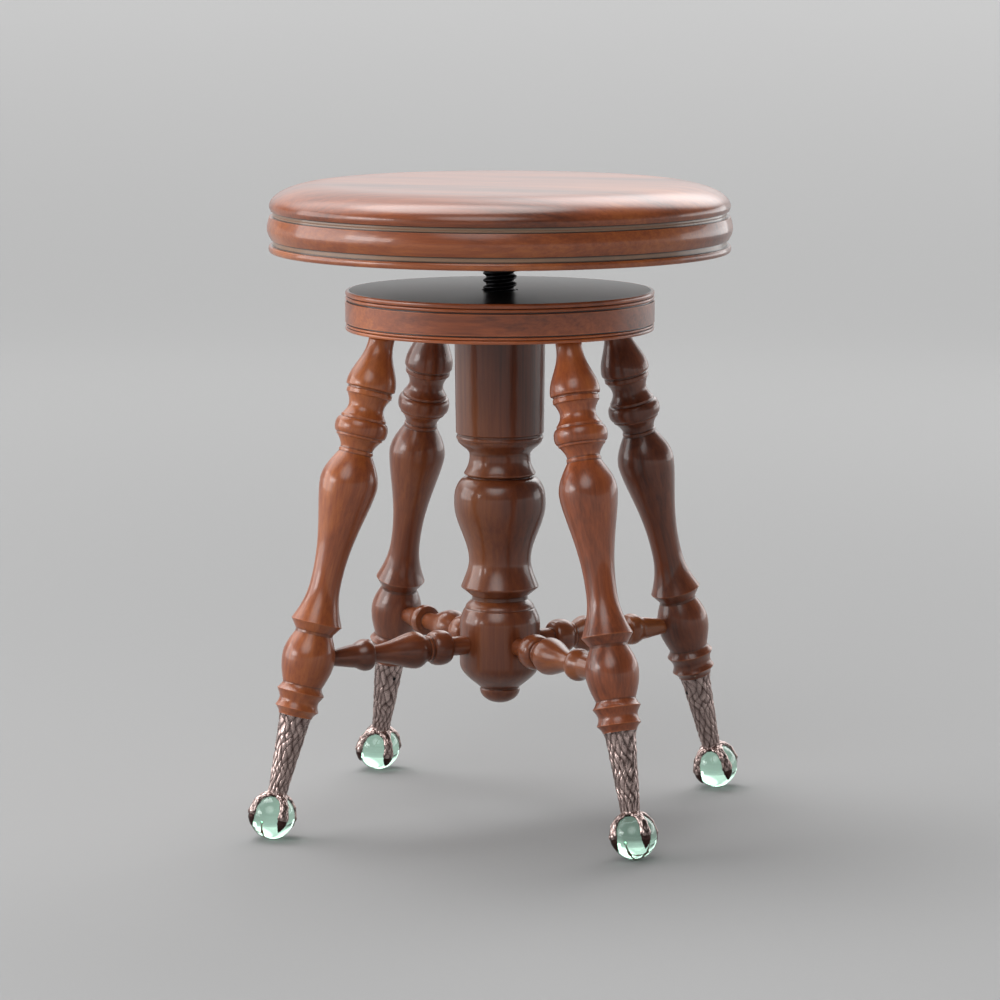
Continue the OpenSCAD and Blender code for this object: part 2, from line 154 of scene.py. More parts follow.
# How far each point of an outline stands out from its neighbours: above zero on a crest, below it in
# a groove, and zero at the outline's ends
def reliefAlong(points):
    gone = lengthsAlong(points)

    def radiusAt(distance):
        index = min(max(bisect.bisect_left(gone, distance), 1), len(gone) - 1)
        length = max(gone[index] - gone[index - 1], shared["seam"])
        share = min(max((distance - gone[index - 1]) / length, 0), 1)
        return mix(points[index - 1][0], points[index][0], share)

    reach, steps = shared["reliefReach"], shared["reliefSteps"]
    found = []
    for here, distance in zip(points, gone):
        near = [radiusAt(distance + reach * step / steps) for step in range(-steps, steps + 1)]
        inside = reach < distance < gone[-1] - reach
        found.append(here[0] - sum(near) / len(near) if inside else 0)
    return found


# Turns an outline round the Z axis: a grid is wrapped round and sewn up along its seam and poles.
# Each point keeps its relief, and how far along the outline it lies.
def lathed(outline, steps, closed=False):
    reliefs, paths = reliefAlong(outline), lengthsAlong(outline)
    if closed:
        outline, reliefs, paths = outline + outline[:1], reliefs + reliefs[:1], paths + paths[-1:]
    shape = bmesh.new()
    relief = shape.verts.layers.float.new("relief")
    path = shape.verts.layers.float.new("path")
    bmesh.ops.create_grid(shape, x_segments=len(outline) - 1, y_segments=steps, size=1)
    for vert in shape.verts:
        index = round((vert.co.x + 1) / 2 * (len(outline) - 1))
        angle = (vert.co.y + 1) / 2 * fullTurn
        vert[relief], vert[path] = reliefs[index], paths[index]
        radius, height = outline[index]
        vert.co = (radius * math.cos(angle), radius * math.sin(angle), height)
    bmesh.ops.remove_doubles(shape, verts=shape.verts, dist=shared["seam"])
    bmesh.ops.recalc_face_normals(shape, faces=shape.faces)
    return shape


# Notes where each point lies in the wood or metal that its piece was made from, with the grain along
# the third value, and the piece's tone: its stain, with painted light and shade
def markGrain(shape, offset, turned=True, stainAndPaintedLight=1.0):
    grain = shape.verts.layers.float_vector.new("grain")
    stainAndLightLayer = shape.verts.layers.float.new("stainAndPaintedLight")
    relief = shape.verts.layers.float["relief"]
    for vert in shape.verts:
        x, y, z = vert.co
        vert[grain] = Vector((x, y, z) if turned else (y, z, x)) + Vector(offset)
        vert[stainAndLightLayer] = stainAndPaintedLight
        # A turned piece's grooves get less of the dirt and painted shade
        if turned:
            vert[relief] = max(vert[relief], -shared["turnedDirtAndShade"])


# Marks the wall of a board's groove, at one radius and between two heights, where dust has settled and a
# pale sheen is painted
def markDustAndSheen(shape, wallRadius, low, high):
    dust = shape.verts.layers.float.new("dust")
    tolerance = 0.1 * mm
    for vert in shape.verts:
        onWall = abs(vert.co.xy.length - wallRadius) < tolerance and low < vert.co.z < high
        vert[dust] = 1 if onWall else 0


# Cuts a shape at one height, clears what is above it (way 1) or below it (way -1), and caps the cut
def cutLevel(shape, height, way):
    cut = bmesh.ops.bisect_plane(shape, geom=shape.verts[:] + shape.edges[:] + shape.faces[:],
                                 plane_co=(0, 0, height), plane_no=(0, 0, way), clear_outer=True)
    rim = [item for item in cut["geom_cut"] if isinstance(item, bmesh.types.BMEdge)]
    bmesh.ops.holes_fill(shape, edges=rim, sides=0)


# Draws an outline of (radius, height) pairs as a wire, ready to spin
def drawWire(shape, points):
    verts = [shape.verts.new((radius, 0, height)) for radius, height in points]
    return verts + [shape.edges.new(pair) for pair in zip(verts, verts[1:])]


# Makes a shape an object on its body, in place of the frame's solids
def finishPiece(name, shape, material, body, nodes):
    mesh = bpy.data.meshes.new(name)
    shape.to_mesh(mesh)
    shape.free()
    mesh.materials.append(material)
    mesh.polygons.foreach_set("use_smooth", [True] * len(mesh.polygons))
    piece = bpy.data.objects.new(name, mesh)
    bpy.context.scene.collection.objects.link(piece)
    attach(piece, body)
    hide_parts(*nodes)
    return piece


# Materials

# Linear colour of an sRGB hex value
def hexColour(text):
    channels = [int(text[index:index + 2], 16) / 255 for index in (1, 3, 5)]
    linear = [value / 12.92 if value <= 0.04045 else ((value + 0.055) / 1.055) ** 2.4 for value in channels]
    return (*linear, 1)


# Adds a node: settings are its own properties, and inputs are values or the outputs to link
def addNode(tree, kind, inputs=None, **settings):
    made = tree.nodes.new(kind)
    for name, value in settings.items():
        setattr(made, name, value)
    for socket, value in (inputs or {}).items():
        if isinstance(value, bpy.types.NodeSocket):
            tree.links.new(value, made.inputs[socket])
        else:
            made.inputs[socket].default_value = value
    return made


def newMaterial(name):
    material = bpy.data.materials.new(name)
    material.use_nodes = True
    tree = material.node_tree
    return material, tree, tree.nodes["Principled BSDF"]


def setStops(ramp, stops):
    elements = ramp.color_ramp.elements
    while len(elements) < len(stops):
        elements.new(0.5)
    for element, (place, colour) in zip(elements, stops):
        element.position = place
        element.color = hexColour(colour)


# Stained and varnished hardwood, turned and sanded: soft streaks and short dark pores along the grain,
# old dirt and painted shade that darken the tight corners, wear and a painted highlight on the crests,
# dust and a painted pale sheen on the grooves' walls, stain with painted light and shade that differs
# from piece to piece, a satin sheen, and a thin gloss coat
def makeLacqueredWood():
    wood = {
        "dark": "#4e2311", "middle": "#894523", "light": "#b56730",
        # Colours of wear with a painted highlight on the crests, of dust with a painted pale sheen on the
        # grooves' walls, and of dirt with painted shade in the grooves
        "wornAndHighlit": "#b3622f", "dust": "#8b7d66", "dirtAndShade": "#1b0e09",
        "mostWornAndHighlit": 0.4, "mostDustAndSheen": 0.6, "mostDirtAndShade": 0.92,
        "crest": (0.06 * mm, 0.3 * mm), "groove": (-0.04 * mm, -0.22 * mm),  # relief at first and at full
        "ringWidth": 9 * mm, "pithAway": 60 * mm, "wander": 24 * mm, "cloud": 60 * mm, "wave": 11 * mm,
        "fibreWidth": 2.4 * mm, "fibreLength": 70 * mm, "poreWidth": 0.6 * mm, "poreLength": 8 * mm,
        "cloudShare": 0.85, "fibreShare": 0.35, "ringShare": 0.02, "toneShift": -0.1,
        "poreFrom": 0.6, "poreFull": 0.74, "poreShare": 0.3, "poreSink": -0.12,
        "satin": 0.36, "coat": 0.5, "coatRoughness": 0.09,
    }
    material, tree, shader = newMaterial("lacqueredWood")
    grain = addNode(tree, "ShaderNodeAttribute", attribute_name="grain").outputs["Vector"]
    relief = addNode(tree, "ShaderNodeAttribute", attribute_name="relief").outputs["Fac"]

    wander = addNode(tree, "ShaderNodeTexNoise", {"Vector": addNode(tree, "ShaderNodeMapping", {
        "Vector": grain, "Scale": (1, 1, 0.22)}).outputs["Vector"],
        "Scale": 1 / wood["cloud"], "Detail": 3, "Roughness": 0.5})
    shifted = addNode(tree, "ShaderNodeVectorMath", {
        0: wander.outputs["Color"], 1: (wood["wander"], wood["wander"], 0), 2: grain},
        operation="MULTIPLY_ADD")
    fromPith = addNode(tree, "ShaderNodeVectorMath", {0: addNode(tree, "ShaderNodeMapping", {
        "Vector": shifted.outputs["Vector"], "Location": (wood["pithAway"], wood["pithAway"] / 3, 0),
        "Scale": (1, 1, 0)}).outputs["Vector"]}, operation="LENGTH")
    rings = addNode(tree, "ShaderNodeMath", {0: addNode(tree, "ShaderNodeMath", {
        0: fromPith.outputs["Value"], 1: fullTurn / wood["ringWidth"]}, operation="MULTIPLY").outputs[0]},
        operation="SINE")
    fibre = addNode(tree, "ShaderNodeTexNoise", {"Vector": addNode(tree, "ShaderNodeMapping", {
        "Vector": grain, "Scale": (1 / wood["fibreWidth"], 1 / wood["fibreWidth"], 1 / wood["fibreLength"])
        }).outputs["Vector"], "Scale": 1, "Detail": 4, "Roughness": 0.6})
    pores = addNode(tree, "ShaderNodeTexNoise", {"Vector": addNode(tree, "ShaderNodeMapping", {
        "Vector": grain, "Scale": (1 / wood["poreWidth"], 1 / wood["poreWidth"], 1 / wood["poreLength"])
        }).outputs["Vector"], "Scale": 1, "Detail": 2, "Roughness": 0.5})
    poreTone = addNode(tree, "ShaderNodeMapRange", {
        "Value": pores.outputs["Fac"], "From Min": wood["poreFrom"], "From Max": wood["poreFull"],
        "To Min": 0, "To Max": wood["poreShare"]})

    # Fibre, cloud and rings add up to one tone, which the ramp colours
    ringed = addNode(tree, "ShaderNodeMath", {
        0: rings.outputs[0], 1: wood["ringShare"], 2: wood["toneShift"]}, operation="MULTIPLY_ADD")
    clouded = addNode(tree, "ShaderNodeMath", {
        0: wander.outputs["Fac"], 1: wood["cloudShare"], 2: ringed.outputs[0]}, operation="MULTIPLY_ADD")
    tone = addNode(tree, "ShaderNodeMath", {
        0: fibre.outputs["Fac"], 1: wood["fibreShare"], 2: clouded.outputs[0]}, operation="MULTIPLY_ADD")
    ramp = addNode(tree, "ShaderNodeValToRGB", {"Fac": tone.outputs[0]})
    setStops(ramp, [(0.26, wood["dark"]), (0.5, wood["middle"]), (0.76, wood["light"])])
    pored = addNode(tree, "ShaderNodeMix", {"Factor": poreTone.outputs["Result"],
        "A": ramp.outputs["Color"], "B": hexColour(wood["dark"])}, data_type="RGBA")
    # Wear and a painted highlight lighten the crests
    wornAndHighlit = addNode(tree, "ShaderNodeMapRange", {
        "Value": relief, "From Min": wood["crest"][0], "From Max": wood["crest"][1],
        "To Min": 0, "To Max": wood["mostWornAndHighlit"]})
    wornAndHighlitColour = addNode(tree, "ShaderNodeMix", {"Factor": wornAndHighlit.outputs["Result"],
        "A": pored.outputs["Result"], "B": hexColour(wood["wornAndHighlit"])}, data_type="RGBA")
    # Dust and a painted pale sheen cover the grooves' walls
    dust = addNode(tree, "ShaderNodeMath", {0: addNode(
        tree, "ShaderNodeAttribute", attribute_name="dust").outputs["Fac"], 1: wood["mostDustAndSheen"]},
        operation="MULTIPLY")
    dustedAndSheened = addNode(tree, "ShaderNodeMix", {"Factor": dust.outputs[0],
        "A": wornAndHighlitColour.outputs["Result"], "B": hexColour(wood["dust"])}, data_type="RGBA")
    # Dirt and painted shade darken the grooves, most where they sink deepest
    dirtAndShadeMask = addNode(tree, "ShaderNodeMapRange", {
        "Value": relief, "From Min": wood["groove"][0], "From Max": wood["groove"][1],
        "To Min": 0, "To Max": wood["mostDirtAndShade"]})
    dirtiedAndShaded = addNode(tree, "ShaderNodeMix", {"Factor": dirtAndShadeMask.outputs["Result"],
        "A": dustedAndSheened.outputs["Result"], "B": hexColour(wood["dirtAndShade"])}, data_type="RGBA")
    # Each piece's stain, with painted light and shade, scales the colour
    stainedAndLit = addNode(tree, "ShaderNodeVectorMath", {0: dirtiedAndShaded.outputs["Result"], "Scale": addNode(
        tree, "ShaderNodeAttribute", attribute_name="stainAndPaintedLight").outputs["Fac"]}, operation="SCALE")
    tree.links.new(stainedAndLit.outputs["Vector"], shader.inputs["Base Color"])

    # The varnish has sunk a little into the pores, and lies in slow waves
    waves = addNode(tree, "ShaderNodeTexNoise", {"Vector": grain, "Scale": 1 / wood["wave"], "Detail": 1})
    height = addNode(tree, "ShaderNodeMath", {0: poreTone.outputs["Result"], 1: wood["poreSink"],
        2: waves.outputs["Fac"]}, operation="MULTIPLY_ADD")
    bump = addNode(tree, "ShaderNodeBump", {
        "Height": height.outputs[0], "Strength": 0.4, "Distance": 0.2 * mm})
    tree.links.new(bump.outputs["Normal"], shader.inputs["Normal"])
    shader.inputs["Roughness"].default_value = wood["satin"]
    shader.inputs["IOR"].default_value = 1.46
    shader.inputs["Coat Weight"].default_value = wood["coat"]
    shader.inputs["Coat Roughness"].default_value = wood["coatRoughness"]
    return material


# Cast bronze with a pinkish copper tone, burnished on the crests of its scales and dark in the
# grooves; the nails are coloured down to a brown black
def makeAntiqueBronze():
    bronze = {
        "high": "#ccb6b0", "low": "#463330", "nail": "#4a3633",
        "grit": 0.7 * mm, "gritShare": 0.4, "crestShare": 1.1, "rubShift": -0.25,
        "burnished": 0.2, "cast": 0.34,  # roughness of the grit's smoothest and roughest spots
    }
    material, tree, shader = newMaterial("antiqueBronze")
    burnish = addNode(tree, "ShaderNodeAttribute", attribute_name="burnish").outputs["Fac"]
    nail = addNode(tree, "ShaderNodeAttribute", attribute_name="nail").outputs["Fac"]
    local = addNode(tree, "ShaderNodeAttribute", attribute_name="grain").outputs["Vector"]
    grit = addNode(tree, "ShaderNodeTexNoise", {
        "Vector": local, "Scale": 1 / bronze["grit"], "Detail": 3, "Roughness": 0.6})
    crests = addNode(tree, "ShaderNodeMath", {
        0: burnish, 1: bronze["crestShare"], 2: bronze["rubShift"]}, operation="MULTIPLY_ADD")
    rubbing = addNode(tree, "ShaderNodeMath", {
        0: grit.outputs["Fac"], 1: bronze["gritShare"], 2: crests.outputs[0]},
        operation="MULTIPLY_ADD", use_clamp=True)
    metal = addNode(tree, "ShaderNodeMix", {"Factor": rubbing.outputs[0],
        "A": hexColour(bronze["low"]), "B": hexColour(bronze["high"])}, data_type="RGBA")
    coloured = addNode(tree, "ShaderNodeMix", {"Factor": nail, "A": metal.outputs["Result"],
        "B": hexColour(bronze["nail"])}, data_type="RGBA")
    tree.links.new(coloured.outputs["Result"], shader.inputs["Base Color"])
    rough = addNode(tree, "ShaderNodeMapRange", {
        "Value": grit.outputs["Fac"], "From Min": 0.3, "From Max": 0.7,
        "To Min": bronze["burnished"], "To Max": bronze["cast"]})
    tree.links.new(rough.outputs["Result"], shader.inputs["Roughness"])
    bump = addNode(tree, "ShaderNodeBump", {
        "Height": grit.outputs["Fac"], "Strength": 0.3, "Distance": 0.06 * mm})
    tree.links.new(bump.outputs["Normal"], shader.inputs["Normal"])
    shader.inputs["Metallic"].default_value = 1
    return material


# Pressed soda glass with a pale green tint, fire polished
def makeGreenGlass():
    material, tree, shader = newMaterial("greenGlass")
    shader.inputs["Base Color"].default_value = hexColour("#d0fae5")
    shader.inputs["Roughness"].default_value = 0
    shader.inputs["IOR"].default_value = 1.5
    shader.inputs["Transmission Weight"].default_value = 1
    return material


# Sheet iron in baked black varnish: near black, glossy, faintly rippled
def makeBlackJapan():
    material, tree, shader = newMaterial("blackJapan")
    place = addNode(tree, "ShaderNodeTexCoord").outputs["Object"]
    ripple = addNode(tree, "ShaderNodeTexNoise", {"Vector": place, "Scale": 1 / (14 * mm), "Detail": 2})
    bump = addNode(tree, "ShaderNodeBump", {
        "Height": ripple.outputs["Fac"], "Strength": 0.25, "Distance": 0.1 * mm})
    dust = addNode(tree, "ShaderNodeTexNoise", {
        "Vector": place, "Scale": 1 / (30 * mm), "Detail": 6, "Roughness": 0.65})
    tone = addNode(tree, "ShaderNodeValToRGB", {"Fac": dust.outputs["Fac"]})
    setStops(tone, [(0.35, "#0b0b0c"), (0.7, "#1a1918")])
    tree.links.new(tone.outputs["Color"], shader.inputs["Base Color"])
    tree.links.new(bump.outputs["Normal"], shader.inputs["Normal"])
    shader.inputs["Roughness"].default_value = 0.3
    shader.inputs["IOR"].default_value = 1.45
    return material


# A black metal whose fine grit shows in two tones and as bumps
def makeBlackMetal(name, grit, dark, light, strength, depth):
    material, tree, shader = newMaterial(name)
    place = addNode(tree, "ShaderNodeTexCoord").outputs["Object"]
    grain = addNode(tree, "ShaderNodeTexNoise", {
        "Vector": place, "Scale": 1 / grit, "Detail": 4, "Roughness": 0.6})
    tone = addNode(tree, "ShaderNodeValToRGB", {"Fac": grain.outputs["Fac"]})
    setStops(tone, [(0.3, dark), (0.75, light)])
    tree.links.new(tone.outputs["Color"], shader.inputs["Base Color"])
    bump = addNode(tree, "ShaderNodeBump", {
        "Height": grain.outputs["Fac"], "Strength": strength, "Distance": depth})
    tree.links.new(bump.outputs["Normal"], shader.inputs["Normal"])
    return material, shader


# Steel blackened in hot oil: a dark film with a dull metal shine
def makeBlackSteel():
    material, shader = makeBlackMetal("blackSteel", 3 * mm, "#161618", "#303032", 0.3, 0.05 * mm)
    shader.inputs["Metallic"].default_value = 0.85
    shader.inputs["Roughness"].default_value = 0.34
    return material


# Iron cast in sand, under one coat of black paint: coarse, and only half glossy
def makeBlackIron():
    material, shader = makeBlackMetal("blackIron", 1.4 * mm, "#121213", "#262627", 0.6, 0.15 * mm)
    shader.inputs["Roughness"].default_value = 0.5
    return material


lacqueredWood = makeLacqueredWood()
antiqueBronze = makeAntiqueBronze()
greenGlass = makeGreenGlass()
blackJapan = makeBlackJapan()
blackSteel = makeBlackSteel()
blackIron = makeBlackIron()
print("materials made")


# Seat: a crowned board over a banded board

# An edge's station holds its share of the height, how far it stands in from the seat's radius as a
# share of the groove, and the curve on to the next station
seat = {
    "steps": 192,
    "groove": 3 * mm,
    "wallShare": 1.5,  # the stations that are a groove's wall
    "flatRadius": 132 * mm,
    "flatSteps": 12,
    "domeSteps": 54,
    "crownRise": 17.6 * mm,
    "crownGrain": (0.31, 0.02, 0.11),
    "bandGrain": (0.87, 0.13, 0.41),
    "crownEdge": [[0, 1.5, "straight"], [0.43, 1.5, "straight"], [0.45, 0.95, "swell"], [1, 0.6]],
    "bandEdge": [
        [0, 1, "round"], [0.09, 0.4, "turn"], [0.18, 0.75, "straight"], [0.187, 1.5, "straight"],
        [0.329, 1.5, "straight"], [0.336, 1, "swell"], [0.62, 0, "ease"],
        [0.935, 0.6, "straight"], [0.941, 1.5, "straight"], [1, 1.5, "straight"]],
}
bandLow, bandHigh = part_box("band_board")
crownLow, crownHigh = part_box("crown_board")
seatRadius = bandHigh.x
wallRadius = seatRadius - seat["wallShare"] * seat["groove"]


def makeCrownBoard():
    edgeTop = crownHigh.z - seat["crownRise"]
    edgeRadius = seatRadius - seat["groove"] * seat["crownEdge"][-1][1]
    outline = [(0, crownLow.z)]
    outline += [(seatRadius - inset, crownLow.z + along) for inset, along in turnedOutline(
        seat["crownEdge"], edgeTop - crownLow.z, seat["groove"])]
    for step in range(1, seat["domeSteps"] + 1):
        angle = math.pi / 2 * step / seat["domeSteps"]
        outline.append((mix(seat["flatRadius"], edgeRadius, math.cos(angle)),
                        edgeTop + seat["crownRise"] * math.sin(angle)))
    outline += [(seat["flatRadius"] * (1 - step / seat["flatSteps"]), crownHigh.z)
                for step in range(1, seat["flatSteps"] + 1)]
    shape = lathed(softened(outline, shared["softness"]), seat["steps"])
    markGrain(shape, seat["crownGrain"], turned=False)
    markDustAndSheen(shape, wallRadius, crownLow.z - mm, edgeTop)
    finishPiece("crownBoard", shape, lacqueredWood, "seat", ["crown_board"])


def makeBandBoard():
    height = crownLow.z - bandLow.z
    edge = [(seatRadius - inset, bandLow.z + along)
            for inset, along in turnedOutline(seat["bandEdge"], height, seat["groove"])]
    outline = softened([(0, bandLow.z)] + edge + [(0, crownLow.z)], shared["softness"] / 2)
    shape = lathed(outline, seat["steps"])
    markGrain(shape, seat["bandGrain"], turned=False)
    markDustAndSheen(shape, wallRadius, bandLow.z + mm, crownLow.z + mm)
    finishPiece("bandBoard", shape, lacqueredWood, "seat", ["band_board"])


makeCrownBoard()
makeBandBoard()
print("seat made")


# Base disc and its top plate

disc = {
    "steps": 160,
    "groove": 2 * mm,
    "tenonRadius": 26 * mm,
    "flangeRadius": 38 * mm,
    "flangeThick": 4 * mm,
    "plateBore": 14 * mm,  # radius of the hole for the screw
    "grain": (0.52, 0.23, 0.77),
    # painted light makes the disc lighter than the other wood
    "stainAndPaintedLight": 1.35,
    "edge": [
        [0, 0.6, "round"], [0.048, 0.1, "turn"], [0.09, 0.6, "straight"], [0.095, 0.85, "straight"],
        [0.1, 0.6, "round"], [0.134, 0.25, "turn"], [0.165, 0.6, "straight"],
        [0.17, 1, "straight"], [0.2, 1, "straight"], [0.205, 0, "straight"],
        [0.742, 0, "straight"], [0.747, 1, "straight"], [0.777, 1, "straight"],
        [0.782, 0.5, "round"], [0.824, 0.1, "turn"], [0.865, 0.5, "straight"],
        [0.872, 0.85, "straight"], [0.88, 0.5, "round"], [0.935, 0.1, "turn"], [1, 0.7, "straight"]],
}
discLow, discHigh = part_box("base_disc")
plateLow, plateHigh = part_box("top_plate")
discRadius = discHigh.x


def makeBaseDisc():
    gap = shared["fitGap"]
    edge = [(discRadius - inset, discLow.z + along)
            for inset, along in turnedOutline(disc["edge"], discHigh.z - discLow.z, disc["groove"])]
    seatOfPlate, seatOfFlange = plateLow.z, plateLow.z - disc["flangeThick"]
    outline = [(disc["tenonRadius"] + gap, discLow.z)] + edge + [
        (plateHigh.x + gap, discHigh.z), (plateHigh.x + gap, seatOfPlate),
        (disc["flangeRadius"] + gap, seatOfPlate), (disc["flangeRadius"] + gap, seatOfFlange),
        (disc["tenonRadius"] + gap, seatOfFlange)]
    shape = lathed(softened(outline, shared["softness"] / 2, closed=True), disc["steps"], closed=True)
    markGrain(shape, disc["grain"], turned=False, stainAndPaintedLight=disc["stainAndPaintedLight"])
    finishPiece("baseDisc", shape, lacqueredWood, "base", ["base_disc"])


def makeTopPlate():
    bore, rim = disc["plateBore"], plateHigh.x
    outline = [(bore, plateLow.z), (rim, plateLow.z), (rim, plateHigh.z), (bore, plateHigh.z)]
    shape = lathed(softened(outline, shared["softness"] / 2, closed=True), disc["steps"], closed=True)
    finishPiece("topPlate", shape, blackJapan, "base", ["top_plate"])


makeBaseDisc()
makeTopPlate()
print("disc made")


# Centre column, bored for the screw and its nut

column = {
    "steps": 128,
    "radius": 35.3 * mm,
    "boreRadius": 14.7 * mm,
    "nutRadius": 19.5 * mm,
    "nutLength": 48 * mm,
    "boreSpare": 5 * mm,
    "scribes": [113.2 * mm, 109.6 * mm, 106 * mm],  # heights of three fine grooves
    "scribeWidth": 0.9 * mm,
    "scribeDepth": 0.4 * mm,
    "grain": (0.05, 0.63, 0.29),
    # painted shade darkens the column under the disc
    "stainAndPaintedLight": 0.57,
    "outline": [
        [0, 0.99, "straight"], [0.274, 0.96, "straight"], [0.277, 0.93, "straight"],
        [0.282, 0.93, "round"], [0.287, 0.95, "turn"], [0.292, 0.925, "wave"],
        [0.333, 0.663, "ease", 1.3], [0.382, 0.782, "straight"], [0.385, 0.775, "straight"],
        [0.390, 0.7, "straight"], [0.392, 0.7, "round"], [0.453, 1, "straight"],
        [0.462, 1, "wave"], [0.618, 0.675, "ease", 0.8], [0.684, 0.845, "straight"],
        [0.688, 0.845, "straight"], [0.711, 0.61, "straight"], [0.720, 0.607, "swell"],
        [0.743, 0.755, "straight"], [0.746, 0.78, "swell"], [0.785, 0.88, "straight"],
        [0.892, 0.88, "ease"], [0.956, 0.43, "straight"], [0.959, 0.42, "straight"],
        [0.962, 0.44, "turn"], [1, 0, "straight"]],
}
columnLow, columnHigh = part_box("column")
screwLow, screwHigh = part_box("lift_screw")
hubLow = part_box("seat_hub")[0]


def makeColumn():
    gap = shared["fitGap"]
    drop = discLow.z - columnLow.z
    nutEnd = plateLow.z - column["nutLength"] - gap
    boreEnd = screwLow.z - (hubLow.z - plateHigh.z) - column["boreSpare"]
    side = [(radius, discLow.z - along) for radius, along in turnedOutline(
        column["outline"], drop, column["radius"])]
    outline = [(0, boreEnd), (column["boreRadius"], boreEnd), (column["boreRadius"], nutEnd),
               (column["nutRadius"] + gap, nutEnd), (column["nutRadius"] + gap, columnHigh.z),
               (disc["tenonRadius"], columnHigh.z), (disc["tenonRadius"], discLow.z)] + side
    outline = scribed(softened(outline, shared["softness"]), column["scribes"],
                      column["scribeWidth"], column["scribeDepth"])
    shape = lathed(outline, column["steps"])
    markGrain(shape, column["grain"], stainAndPaintedLight=column["stainAndPaintedLight"])
    finishPiece("turnedColumn", shape, lacqueredWood, "base", ["column"])


makeColumn()
print("column made")


# Legs, each on its own leaning axis with its origin at the ball's centre

leg = {
    "steps": 96,
    "radius": 22.1 * mm,
    "topCircle": 102.3 * mm,
    "footLength": 78 * mm,
    "socketLength": 34 * mm,
    "sleeveTop": 12.7 * mm,
    "ankle": 7.4 * mm,
    "sleeveWall": 2 * mm,
    "stainsAndPaintedLight": [0.78, 0.66, 1, 1.2],  # painted shade darkens the two at the back most
    "outline": [
        [0, 0.443, "straight"], [0.017, 0.443, "wave", 1.08],
        [0.133, 0.855, "straight"], [0.138, 0.845, "straight"], [0.141, 0.765, "straight"],
        [0.145, 0.765, "straight"], [0.147, 0.79, "straight"], [0.157, 0.79, "straight"],
        [0.160, 0.742, "swell"], [0.188, 0.61, "ease"], [0.212, 0.742, "straight"],
        [0.215, 0.778, "straight"], [0.222, 0.783, "round"], [0.244, 0.918, "turn"],
        [0.263, 0.81, "straight"], [0.269, 0.797, "straight"], [0.271, 0.75, "swell"],
        [0.300, 0.561, "straight"], [0.302, 0.593, "straight"], [0.308, 0.593, "straight"],
        [0.310, 0.584, "swell"], [0.390, 1, "wave", 0.75], [0.638, 0.523, "ease", 1.25],
        [0.755, 0.882, "straight"], [0.779, 0.652, "straight"], [0.785, 0.652, "swell"],
        [0.847, 0.91, "ease"], [0.918, 0.683, "ease"], [0.937, 0.82, "swell", 1.2],
        [0.961, 0.674, "ease"], [0.981, 0.756, "swell"], [1, 0.584, "straight"]],
}
ballLow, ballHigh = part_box("ball_1")
ballRadius = (ballHigh.z - ballLow.z) / 2
ballMiddle = (ballLow + ballHigh) / 2
footCircle = math.hypot(ballMiddle.x, ballMiddle.y)
legRise, legRun = discLow.z - ballMiddle.z, footCircle - leg["topCircle"]
legTilt = math.atan(legRun / legRise)
axisLength = math.hypot(legRise, legRun)


def quarterTurn(number):
    return Matrix.Rotation(math.pi / 4 + math.pi / 2 * (number - 1), 4, "Z")


def legAxis(number):
    return (quarterTurn(number) @ Matrix.Translation((footCircle, 0, ballMiddle.z))
            @ Matrix.Rotation(-legTilt, 4, "Y"))


# Radius of the claw's socket at its lower end, which the leg's taper fills
def socketEndRadius():
    share = leg["socketLength"] / (leg["footLength"] - ballRadius)
    return mix(leg["sleeveTop"], leg["ankle"], share) - leg["sleeveWall"]


def makeLeg(number):
    gap, foot = shared["fitGap"], leg["footLength"]
    endTop = leg["sleeveTop"] - leg["sleeveWall"]
    endLow = socketEndRadius()
    side = [(radius, axisLength - along) for radius, along in turnedOutline(
        leg["outline"], axisLength - foot, leg["radius"])]
    above = axisLength + leg["radius"]
    outline = [(0, above), (side[0][0], above)] + side + [
        (endTop - gap, foot), (endLow - gap, foot - leg["socketLength"]), (0, foot - leg["socketLength"])]
    shape = lathed(softened(outline, shared["softness"]), leg["steps"])
    markGrain(shape, (0.17 * number, 0.41 - 0.09 * number, 0.73 * number),
              stainAndPaintedLight=leg["stainsAndPaintedLight"][number - 1])
    shape.transform(legAxis(number))
    cutLevel(shape, discLow.z, 1)
    finishPiece(f"leg{number}", shape, lacqueredWood, "base", [f"leg_{number}"])


for number in legNumbers:
    makeLeg(number)
print("legs made")


# Stretchers, from the column's barrel out to the bulbs of the legs

stretcher = {
    "steps": 72,
    "radius": 14.3 * mm,
    "softnessShare": 0.8,  # thinner wood is sanded less round
    "stainAndPaintedLight": 0.66,
    "barrelShare": 0.88,
    "bulbShare": 0.91,
    "columnBite": 12 * mm,
    "legBite": 13 * mm,
    "columnTenonShare": 0.51,
    "legTenonShare": 0.43,
    "outline": [
        [0, 0.51, "straight"], [0.126, 0.51, "straight"], [0.128, 0.67, "round"],
        [0.199, 0.95, "turn"], [0.268, 0.685, "straight"], [0.271, 0.64, "straight"],
        [0.280, 0.69, "straight"], [0.292, 0.69, "straight"], [0.296, 0.61, "swell"],
        [0.389, 1, "wave", 0.8], [0.705, 0.46, "straight"], [0.714, 0.46, "straight"],
        [0.723, 0.74, "round"], [0.762, 0.86, "wave"], [0.856, 0.62, "straight"],
        [1, 0.43, "straight"]],
}
stretcherLow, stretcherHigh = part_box("stretcher_1")
stretcherHeight = (stretcherLow.z + stretcherHigh.z) / 2


